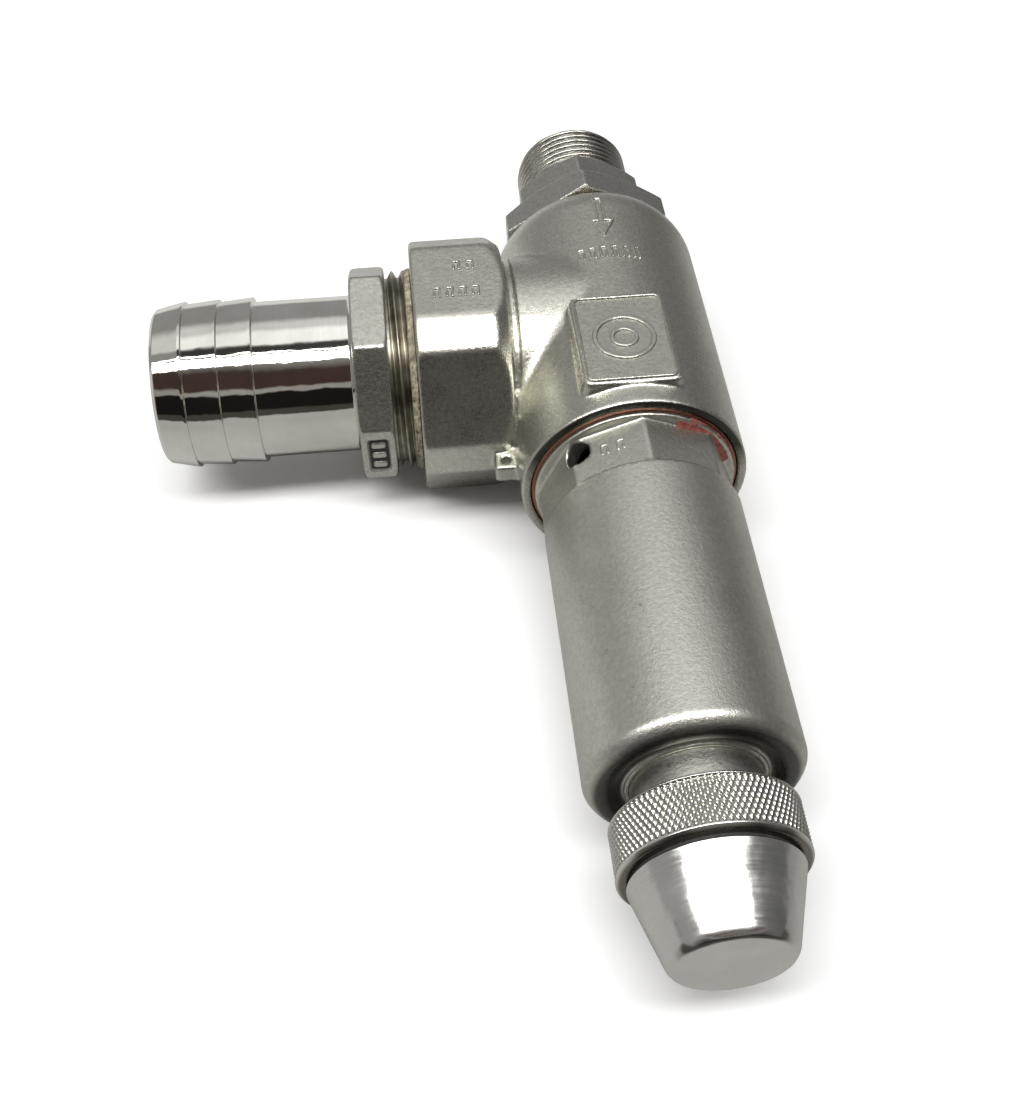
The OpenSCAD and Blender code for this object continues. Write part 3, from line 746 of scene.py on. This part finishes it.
def helix_cut(crest, pitch, depth, start, stop, run_out):
    """Radius is held below crest less depth times a flattened triangle wave, which fades over run_out."""
    def cut(radius, along, angle):
        phase = np.mod(along / pitch - angle / (2 * np.pi), 1)
        wave = np.clip((np.abs(2 * phase - 1) - 0.10) / 0.80, 0, 1)
        wave = wave * wave * (3 - 2 * wave) * 0.35 + wave * 0.65
        fade = np.clip((along - start) / run_out, 0, 1) * np.clip((stop - along) / 0.01, 0, 1)
        return np.where(radius > crest - 1.9, np.minimum(radius, crest - depth * wave * fade), radius)
    return cut


def threaded_outline(bore, crest, start, stop, chamfer):
    """A sleeve outline with a chamfered lead at its far end, finely divided so that the helix shows."""
    outline = [(bore, start), (crest, start), (crest, stop - chamfer), (crest - chamfer, stop),
               (bore + 0.8, stop), (bore, stop - 0.8)]
    return divided(eased(outline, 0.15, 3), 0.13)


cut = helix_cut(INLET_CREST, INLET_PITCH, INLET_DEPTH, 53.0, inlet_end_y + 1, 1.6)
outline = threaded_outline(INLET_BORE_R, INLET_CREST, 51.9, inlet_end_y, 1.3)
points, quads = turned(outline, "spindle", 300, cut)
build_piece("inlet_thread", points, quads, "valve", thread_skin, ["inlet_connector"])

# %% [markdown]
# ## The hose tail
# A tube with three saw-tooth barbs, an octagon collar and a male thread, turned from one bar. The tube
# is polished and the collar is satin. The barbs rise on the side of the collar so that the hose cannot
# slip back.

# %% Tube and barbs
TUBE_R, BARB_R, BARB_ROOT, TAIL_BORE_R = 16.46, 17.45, 16.91, 14.0
BARB_START, BARB_PITCH, TAIL_END = 74.6, 7.1, -tail_end_x
barb_steps = [BARB_START + k * BARB_PITCH for k in range(3)]
tube_outline = [(TAIL_BORE_R, 46.9), (16.8, 46.9), (16.8, 54.0), (17.3, 54.25), (TUBE_R, 54.9)]
tube_outline += [(TUBE_R, BARB_START - 0.05)]
for step in barb_steps[:2]:
    tube_outline += [(BARB_R, step + 0.05), (BARB_R - 0.02, step + 0.6)]
    tube_outline += [(BARB_ROOT, step + BARB_PITCH - 0.05)]
tube_outline += [(BARB_R, barb_steps[2] + 0.05), (BARB_R - 0.02, barb_steps[2] + 0.6)]
tube_outline += [(16.3, TAIL_END - 0.7), (15.6, TAIL_END), (14.5, TAIL_END)]
tube_outline += [(TAIL_BORE_R, TAIL_END - 0.5)]
points, quads = turned(eased(tube_outline, 0.12), "outlet", 384)
build_piece("tail_tube", points, quads, "valve", tail_skin, ["hose_tail"])

# %% Thread of the tail
cut = helix_cut(TAIL_CREST, TAIL_PITCH, TAIL_DEPTH, 31.5, 48, 1.0)
tail_outline = [(TAIL_BORE_R, 31), (19.6, 31), (TAIL_CREST, 32.4), (TAIL_CREST, 46.2), (19.4, 46.4),
                (19.4, 47.1), (TAIL_BORE_R, 47.1)]
points, quads = turned(divided(eased(tail_outline, 0.12, 3), 0.16), "outlet", 288, cut)
build_piece("tail_thread", points, quads, "valve", grimy_skin, ["hose_tail"])

# %% Octagon collar
COLLAR_ACROSS, COLLAR_IN, COLLAR_OUT, COLLAR_TURN = 42.5, 46.95, 54.2, math.radians(55.5)
CONE_OUT_R, CONE_IN_R, CONE_STEEP, CONE_SLANT = 22.2, 22.0, 1.4, 1.72
PANEL, PANEL_FLOOR, PANEL_PLACE = COLLAR_TURN - math.radians(157.5), 20.75, 50.6


def panel_axes(y, z):
    """Distance out from, and along, the flat that carries the recessed panel."""
    return y * math.sin(PANEL) + z * math.cos(PANEL), y * math.cos(PANEL) - z * math.sin(PANEL)


def collar_field(p):
    """Eight flats, two ends, a cone at each end, the tube's hole and a recess in one flat."""
    x, y, z = p[..., 0], p[..., 1], p[..., 2]
    radius, s = np.hypot(y, z), -x
    sides = prism(y, z, [COLLAR_ACROSS / 2] * 8, 22.5, COLLAR_TURN, 0.4)
    ends = np.maximum(s - COLLAR_OUT, COLLAR_IN - s)
    outer_cone = radius + CONE_STEEP * s - (CONE_OUT_R + CONE_STEEP * COLLAR_OUT)
    inner_cone = radius - CONE_STEEP * s - (CONE_IN_R - CONE_STEEP * COLLAR_IN)
    cones = np.maximum(outer_cone, inner_cone) / CONE_SLANT
    metal = blend_cut(blend_cut(sides, ends, 0.5), cones, 0.4)
    out, along = panel_axes(y, z)
    panel = np.maximum(bar(along, s, (0, PANEL_PLACE), (6.1, 2.2), 0.9), PANEL_FLOOR - out)
    metal = blend_cut(metal, -panel, 0.2)
    return blend_cut(metal, 16.7 - radius, 0.1)


points, quads = surface_net(collar_field, (-55, -24, -24), (-46, 24, 24), 0.3)
build_piece("tail_collar", points, quads, "valve", collar_skin, ["hose_tail"])


def on_panel(u, v, height):
    """u runs along the flat, v out along the outlet, from the panel's floor."""
    out = PANEL_FLOOR + height
    y = out * math.sin(PANEL) + u * math.cos(PANEL)
    z = out * math.cos(PANEL) - u * math.sin(PANEL)
    return np.stack([-v, y, z], -1)


def grade_pips(u, v):
    """Three plain upright pips."""
    return np.minimum.reduce([bar(u, v, (c, PANEL_PLACE), (0.9, 1.45), 0.5) for c in (-3.6, 0.0, 3.6)])


def panel_shape(u, v):
    """The floor of the recess."""
    return bar(u, v, (0, PANEL_PLACE), (5.9, 2.05), 0.8)


# A dark sheet on the panel's floor paints the shade in the recess.
relief("panel_painted_shade", (-5.95, 6.0), (48.55, 52.7), panel_shape, on_panel, 0.04,
       shadow_skin, sink=0.05)
relief("panel_pips", (-5.6, 5.7), (48.8, 52.4), grade_pips, on_panel, 0.42, collar_skin)

# %% [markdown]
# ## The bonnet
# The spring housing is a long cylinder with eight spanner flats milled at the body end, a breather hole
# on one corner, and a rounded far end whose bevelled lip goes round a dished recess.

# %% Field of the bonnet
BONNET_R, FLATS_ACROSS, FLATS_END, BONNET_TURN = 19.4, 35.9, -49.5, math.radians(1)
RIM_R, RIM_HIGH, RIM_TOP, SPIGOT = 20.1, -38.6, -37.4, (18.5, -38, -29.1)
END_R, END_START, LIP_R, LIP_Y, DISH_Y, DISH_R = 3.0, -104.6, 16.4, -109.0, -106.2, 14.2
ROOT_R, BONNET_HOLES = 12.35, [(15.5, -99, -20), (11.6, -120, -90)]
VENT_ANGLE, VENT_Y, VENT_R, VENT_START = math.radians(-42.4), -41.7, 2.8, 10


def vent_field(x, y, z):
    """The breather hole, drilled square to the spindle."""
    over = x * math.cos(VENT_ANGLE) - z * math.sin(VENT_ANGLE)
    out = x * math.sin(VENT_ANGLE) + z * math.cos(VENT_ANGLE)
    return np.maximum(np.hypot(over, y - VENT_Y) - VENT_R, VENT_START - out)


def bonnet_field(p):
    """A cylinder with a rounded end, cut by bevel, flats, dish and holes, with a rim and a spigot."""
    x, y, z = p[..., 0], p[..., 1], p[..., 2]
    radius = np.hypot(x, z)
    shell = rounded(radius - (BONNET_R - END_R), END_START - y) - END_R
    bevel = (radius - LIP_R + LIP_Y + 0.2 - y) / math.sqrt(2)
    shell = blend_cut(blend_cut(np.maximum(shell, y - RIM_HIGH), bevel, 1.0), LIP_Y - y, 0.5)
    octagon = prism(x, z, [FLATS_ACROSS / 2] * 8, 22.5, BONNET_TURN, 0.3)
    shell = blend_cut(shell, np.minimum(octagon, y - FLATS_END), 0.2)
    rim = blend_cut(tube_field(radius, y, RIM_R, RIM_HIGH, RIM_TOP), radius - RIM_R, 0.3)
    dish = blend_cut(0.88 * (radius - DISH_R) - 0.47 * (DISH_Y - y), y - DISH_Y, 1.2)
    root = tube_field(radius, y, ROOT_R, DISH_Y - 0.7, -100)
    holes = [tube_field(radius, y, *hole) for hole in BONNET_HOLES]
    metal = np.minimum.reduce([shell, rim, tube_field(radius, y, *SPIGOT)])
    metal = blend_join(blend_cut(metal, -dish, 0.6), root, 0.5)
    return blend_cut(metal, -np.minimum.reduce([*holes, vent_field(x, y, z)]), 0.2)


points, quads = surface_net(bonnet_field, (-20.8, -110.4, -20.8), (20.8, -28.2, 20.8), 0.45)
build_piece("bonnet_shell", points, quads, "valve", bonnet_skin, ["bonnet"])


def on_flat(u, v, height):
    """u runs across the flat left of the top corner, v is y."""
    angle = BONNET_TURN - math.radians(22.5)
    out = FLATS_ACROSS / 2 + height
    x = out * math.sin(angle) + u * math.cos(angle)
    z = out * math.cos(angle) - u * math.sin(angle)
    return np.stack([x, v, z], -1)


relief("bonnet_code", (-3.6, 5.4), (-45.6, -41.0), lambda u, v: code_row(u, v, (-1.6, 1.6), -43.3, 2.7),
       on_flat, 0.2, bonnet_skin)

# %% [markdown]
# ## Knurled ring and cap
# A knurling tool rolls two families of grooves that cross at an angle and leave rows of small pyramids.
# The height of the grid is the smaller of two triangle waves, one for each family of grooves.

# %% Knurled ring
RING_R, RING_LOW, RING_HIGH = 16.3, -113.85, -124.0
TEETH, ROW_LENGTH, KNURL_DEPTH = 90, 1.95, 0.5


def knurl_cut(radius, along, angle):
    """Two crossing triangle waves; the lower one wins, and both fade near the two lips."""
    a = np.mod(TEETH * angle / (2 * np.pi) + along / ROW_LENGTH, 1)
    b = np.mod(TEETH * angle / (2 * np.pi) - along / ROW_LENGTH, 1)
    height = np.minimum(1 - np.abs(2 * a - 1), 1 - np.abs(2 * b - 1))
    height = np.clip(height * 1.05, 0, 1)
    lips = np.clip((RING_LOW - 0.55 - along) / 0.25, 0, 1) * np.clip((along - RING_HIGH - 1.0) / 0.25, 0, 1)
    return np.where(radius > RING_R - 0.5, radius - KNURL_DEPTH * (1 - height) * lips, radius)


RING_BORE_R, CAP_THREAD_R, RING_STEP = 11.63, 13.6, -118.3
ring_outline = [(RING_BORE_R, RING_LOW), (RING_R - 0.5, RING_LOW), (RING_R, RING_LOW - 0.5),
                (RING_R, RING_HIGH + 0.7), (RING_R - 0.7, RING_HIGH), (CAP_THREAD_R, RING_HIGH),
                (CAP_THREAD_R, RING_STEP), (RING_BORE_R, RING_STEP)]
ring_profile = divided(eased(ring_outline, 0.12, 3), 0.16)
points, quads = turned(ring_profile, "spindle", TEETH * 8, knurl_cut)
build_piece("knurled_ring_skin", points, quads, "cap_unit", knurl_skin, ["knurled_ring"])

# %% Cap
cap_outline = [(12.0, -118.6), (13.55, -118.6), (13.55, -124.6), (14.5, -124.6), (14.8, -124.9),
               (10.75, -138.1), (9.9, -139.2), (5.0, cap_end_y + 0.03), (0.0, cap_end_y), (0.0, -137.2),
               (9.0, -137.2), (9.0, -131.0), (12.0, -131.0), (12.0, -127.23), (12.7, -127.23),
               (12.7, -125.97), (12.0, -125.97)]
bites = [0.1, 0.1, 0.1, 0.12, 0.12, 0.6, 0.6, 2.5, 0.0, 0.0, 0.2, 0.2, 0.2, 0.1, 0.1, 0.1, 0.1]
cap_profile = eased(cap_outline, np.maximum(bites, 1e-4), 6)
points, quads = turned(cap_profile, "spindle", 384)
build_piece("cap_shell", points, quads, "cap_unit", cap_skin, ["cap"])

# %% [markdown]
# ## Spring, sealant bead and lacquer
# The spring is a wire carried along a helix, in two halves that meet at its middle; neither half rides
# on a body.
# The bead and the lacquer were put on by hand, so their outlines wander: a sum of a few waves of
# different lengths, which is the same on each run.

# %% Spring
COIL_R, WIRE_R, WIRE_SIDES = 11.6, 1.7, 20
HALF_COILS, STEPS_PER_COIL = 3.25, 60
SPRING_NEAR, SPRING_MIDDLE, SPRING_FAR = -51.72, -69.0, -86.28


def half_coil(name, first_y, last_y, first_angle):
    """Half of the spring, from first_y to last_y along the spindle.

    The wire's middle is (R cos a, y, R sin a), a and y growing together, and its ends close to a point.
    """
    steps = int(HALF_COILS * STEPS_PER_COIL)
    share = np.linspace(0, 1, steps)[:, None]
    angle = first_angle + 2 * np.pi * HALF_COILS * share
    round_wire = np.linspace(0, 2 * np.pi, WIRE_SIDES, endpoint=False)[None, :]
    wire = np.full((steps, 1), WIRE_R)
    wire[[0, -1]] = 0.001
    reach = COIL_R + wire * np.cos(round_wire)
    along = first_y + (last_y - first_y) * share + wire * np.sin(round_wire)
    points = np.stack([reach * np.cos(angle), along, reach * np.sin(angle)], -1).reshape(-1, 3)
    i, j = np.meshgrid(np.arange(steps - 1), np.arange(WIRE_SIDES), indexing="ij")
    corners = [(i, j), (i, (j + 1) % WIRE_SIDES), (i + 1, (j + 1) % WIRE_SIDES), (i + 1, j)]
    quads = np.stack([row * WIRE_SIDES + side for row, side in corners], -1).reshape(-1, 4)
    half = build_piece(name, points, quads, None, spring_skin, ["spring"])
    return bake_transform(half)


half_coil("spring_near_half", SPRING_NEAR, SPRING_MIDDLE, 0.0)
half_coil("spring_far_half", SPRING_MIDDLE, SPRING_FAR, 2 * np.pi * HALF_COILS)

# %% Sealant bead and lacquer
WAVE_COUNTS = (3, 7, 13, 22, 37)


def waves(angle, seed):
    """A sum of five sine waves of rising frequency, about -1 to 1."""
    return sum(np.sin(angle * n + seed * n * 1.7) / (1 + 0.25 * n) for n in WAVE_COUNTS) / 1.6


def bead(radius, along, angle):
    """The bead's outer side swells and shrinks round the thread."""
    return np.where(radius > 21.1, radius + 0.22 * waves(angle, 2.0) - 0.12, radius)


bead_outline = [(20.3, 41.45), (21.5, 41.45), (21.3, 42.3), (20.7, 42.9), (20.2, 42.9)]
points, quads = turned(divided(eased(bead_outline, 0.25, 4), 0.3), "outlet", 360, bead)
build_piece("sealant_bead", points, quads, "valve", sealant_skin, ["thread_sealant"])


def lacquer_shape(u, v):
    """A thin streak along the rim whose width wanders, and a blot at its start."""
    wander = waves(u / 5, 1.0)
    streak = np.hypot(np.maximum(np.abs(u - 0.4) - 6.5, 0), v + 38.1 + 0.2 * wander) - 0.18 - 0.25 * wander
    blot = np.hypot((u + 5.2) / 1.4, v + 38.5) - 0.55
    return np.minimum(streak, blot)


def on_rim(u, v, height):
    """u runs round the rim from the middle of the streak, v is y; the rim steps down to the flats."""
    angle = math.radians(47) + u / 19.8
    t = np.clip((v + 39.2) / 0.8, 0, 1)
    off_flat = np.mod(angle - BONNET_TURN, math.radians(45)) - math.radians(22.5)
    radius = np.minimum(BONNET_R, FLATS_ACROSS / 2 / np.cos(off_flat))
    radius = radius * (1 - t) + RIM_R * t + height
    return np.stack([radius * np.sin(angle), v, radius * np.cos(angle)], -1)


lacquer = relief("lacquer_smear", (-8.5, 8.5), (-40.6, -37.5), lacquer_shape, on_rim, 0.2,
                 lacquer_skin, soft=0.4, sink=0.3)
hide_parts("seal_lacquer")

# %% [markdown]
# ## Finishes of the parts that stay as they are
# The gaskets, the neck bush and everything inside keep their CAD shape and only need their metal.

# %% Dress the CAD nodes
dress = {machined_skin: ["seat_ring", "guide_plate", "upper_spring_plate", "adjusting_screw", "lock_nut",
                         "valve_disc", "seal_retainer", "retainer_screw", "drive_pin", "spindle",
                         "lower_spring_plate", "lift_nut", "lift_washer"],
         copper_skin: ["bonnet_gasket"], bronze_skin: ["guide_bush"], neck_skin: ["neck_bush"],
         rubber_skin: ["stem_oring", "disc_seal", "cap_seal"], spring_skin: ["spindle_clip", "snap_ring"],
         fibre_skin: ["inlet_gasket"]}
for skin, names in dress.items():
    for name in names:
        frame["nodes"][name].data.materials.clear()
        frame["nodes"][name].data.materials.append(skin)
print(sum(len(names) for names in dress.values()), "CAD nodes dressed")

# %% [markdown]
# ## Table, light and camera
# Polished steel shows the room around it more than its own colour. So the room matters: a white table,
# a wide and a narrow ceiling strip over the near side of the table, a lit ceiling behind them, a paler
# wall on the left than on the right, and a mostly dark near side where a person would stand. The table
# is white where it is seen; in reflections it carries painted shade, grey near the valve and dimmer on
# the right, and beyond the near edge a brown painted reflection of the dark near side.

# %% Levels of the room
# The colours that only reflections see are painted shade: grey near the valve, dim on the right, and a brown
# painted reflection of the dark near side beyond the near edge.
TABLE_SEEN, TABLE_FAR, TABLE_NEAR = (1.08, 1.08, 1.08), (0.76, 0.76, 0.75), (0.37, 0.37, 0.36)
TABLE_DIM, TABLE_BROWN = (0.26, 0.26, 0.25), (0.05, 0.045, 0.04)
TABLE_FADE, TABLE_RIGHT, TABLE_EDGE = (-0.15, 0.15), (0.02, 0.12), (-0.25, -0.22)
WALL_LEFT, WALL_RIGHT, CEILING, CEILING_DIM, OVERHEAD = 0.32, 0.12, 1.20, 0.75, 0.05
DARK, PALE_BAND = (0.012, 0.01, 0.01), (0.34, 0.33, 0.31)
NEAR_SIDE = [(0.0, DARK), (0.39, DARK), (0.42, PALE_BAND), (0.49, PALE_BAND), (0.53, (0.06, 0.035, 0.03)),
             (0.80, (0.06, 0.04, 0.035)), (0.87, (0.20, 0.19, 0.18)), (0.93, (0.28, 0.28, 0.27))]

# %% Table
TABLE_HALF, floor_z = 3.0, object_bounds()[0][2]
table_mesh = bpy.data.meshes.new("table")
corners = [(a * TABLE_HALF, b * TABLE_HALF, floor_z) for a, b in ((-1, -1), (1, -1), (1, 1), (-1, 1))]
table_mesh.from_pydata(corners, [], [(0, 1, 2, 3)])
table = bpy.data.objects.new("table", table_mesh)
bpy.context.scene.collection.objects.link(table)
paper = Recipe("white_table", metallic=0.0)
seen = paper.tree.nodes.new("ShaderNodeLightPath").outputs["Is Camera Ray"]
matt = paper.tree.nodes.new("ShaderNodeBsdfDiffuse")
table_place = paper.node("SeparateXYZ", Vector=paper.place)
place_x, place_y = table_place.outputs["X"], table_place.outputs["Y"]
shade_in_reflections = paper.mix(paper.spread(place_y, 0, 1, *TABLE_FADE), TABLE_NEAR, TABLE_FAR)
shade_in_reflections = paper.mix(paper.spread(place_x, 0, 1, *TABLE_RIGHT), shade_in_reflections, TABLE_DIM)
shade_in_reflections = paper.mix(paper.spread(place_y, 1, 0, *TABLE_EDGE), shade_in_reflections, TABLE_BROWN)
paper.tree.links.new(paper.mix(seen, shade_in_reflections, TABLE_SEEN), matt.inputs["Color"])
paper.tree.links.new(matt.outputs[0], paper.tree.nodes["Material Output"].inputs["Surface"])
table_mesh.materials.append(paper.material)

# %% The room as the world
class Room:
    """Short names for the few nodes that shade the room by direction."""

    def __init__(self, owner):
        self.tree = owner.node_tree
        self.split = self.tree.nodes.new("ShaderNodeSeparateXYZ")
        place = self.tree.nodes.new("ShaderNodeTexCoord")
        self.tree.links.new(place.outputs["Generated"], self.split.inputs[0])

    def fade(self, value, start, stop, low=0.0, high=1.0):
        """A smooth step of value from low at start to high at stop."""
        made = self.tree.nodes.new("ShaderNodeMapRange")
        made.interpolation_type = "SMOOTHSTEP"
        self.tree.links.new(value, made.inputs[0])
        for socket, number in zip(list(made.inputs)[1:5], (start, stop, low, high)):
            socket.default_value = number
        return made.outputs[0]

    def times(self, a, b):
        """Product of two values."""
        made = self.tree.nodes.new("ShaderNodeMath")
        made.operation = "MULTIPLY"
        self.tree.links.new(a, made.inputs[0])
        self.tree.links.new(b, made.inputs[1])
        return made.outputs[0]

    def mix(self, factor, a, b):
        """From a to b, each a socket or a grey level."""
        made = self.tree.nodes.new("ShaderNodeMix")
        made.data_type = "RGBA"
        self.tree.links.new(factor, made.inputs[0])
        for socket, value in ((made.inputs[6], a), (made.inputs[7], b)):
            grey = isinstance(value, float)
            feed(self.tree, socket, (value,) * 3 if grey else value)
        return made.outputs[2]

    def ramp(self, value, stops):
        """Colours at places along value."""
        made = self.tree.nodes.new("ShaderNodeValToRGB")
        self.tree.links.new(value, made.inputs[0])
        marks = made.color_ramp.elements
        marks[0].position, marks[1].position = stops[0][0], stops[-1][0]
        for place, colour in stops[1:-1]:
            marks.new(place)
        for mark, (place, colour) in zip(sorted(marks, key=lambda m: m.position), stops):
            mark.color = (*colour, 1)
        return made.outputs[0]


world = bpy.data.worlds.new("room")
bpy.context.scene.world = world
world.use_nodes = True
room = Room(world)
X, Y, Z = (room.split.outputs[k] for k in range(3))
walls = room.fade(X, -0.1, 1.1, WALL_LEFT, WALL_RIGHT)
between_walls = room.times(room.fade(X, -0.85, -0.55), room.fade(X, 0.85, 0.6))
facing = room.times(room.fade(Y, -0.10, -0.35), between_walls)
near_side = room.mix(facing, walls, room.ramp(Z, NEAR_SIDE))
overhead = room.mix(room.times(room.fade(Z, 0.90, 0.95), room.fade(Y, 0.10, 0.0)), near_side, OVERHEAD)
ceiling = room.fade(Z, 0.84, 0.92, CEILING_DIM, CEILING)
light_level = room.mix(room.times(room.fade(Z, 0.62, 0.78), room.fade(Y, 0.04, 0.12)), overhead, ceiling)
world.node_tree.links.new(light_level, world.node_tree.nodes["Background"].inputs[0])
world.node_tree.nodes["Background"].inputs[1].default_value = 1.0


# %% The two lamps
LAMP_HEIGHT, LAMP_LEFT, LAMP_RIGHT = 1.2, -1.32, 0.67


def softbox(name, near, far, radiance):
    """A level rectangular lamp over the table; near and far are Y. Its power is pi x area x radiance."""
    light = bpy.data.lights.new(name, "AREA")
    light.shape = "RECTANGLE"
    light.size, light.size_y = LAMP_RIGHT - LAMP_LEFT, far - near
    light.energy = math.pi * light.size * light.size_y * radiance
    lamp = bpy.data.objects.new(name, light)
    bpy.context.scene.collection.objects.link(lamp)
    lamp.location = ((LAMP_LEFT + LAMP_RIGHT) / 2, (near + far) / 2, LAMP_HEIGHT)
    print(name, "gives", round(light.energy, 1), "W")


centre_y = CROSSING[1]
softbox("ceiling_strip", centre_y - 0.54, centre_y - 0.25, 11.0)
softbox("thin_ceiling_strip", centre_y - 0.20, centre_y - 0.16, 6.0)

# %% Camera
CAMERA_PLACE, LENS = (-42.05, -226.53, 210.46), 49.69
VIEW_TURN, VIEW_TILT, VIEW_ROLL = math.radians(-5.438), math.radians(90 - 50.382), math.radians(-0.342)
camera_data = bpy.data.cameras.new("camera")
camera_data.sensor_fit = "HORIZONTAL"
camera_data.lens = LENS
camera = bpy.data.objects.new("camera", camera_data)
camera.location = to_frame(CAMERA_PLACE)
turn, tilt = Matrix.Rotation(VIEW_TURN, 3, "Z"), Matrix.Rotation(VIEW_TILT, 3, "X")
camera.rotation_euler = (turn @ tilt @ Matrix.Rotation(VIEW_ROLL, 3, "Z")).to_euler()
bpy.context.scene.collection.objects.link(camera)
bpy.context.scene.camera = camera
bpy.context.scene.view_settings.view_transform = "Standard"
print("camera at", tuple(camera.location))
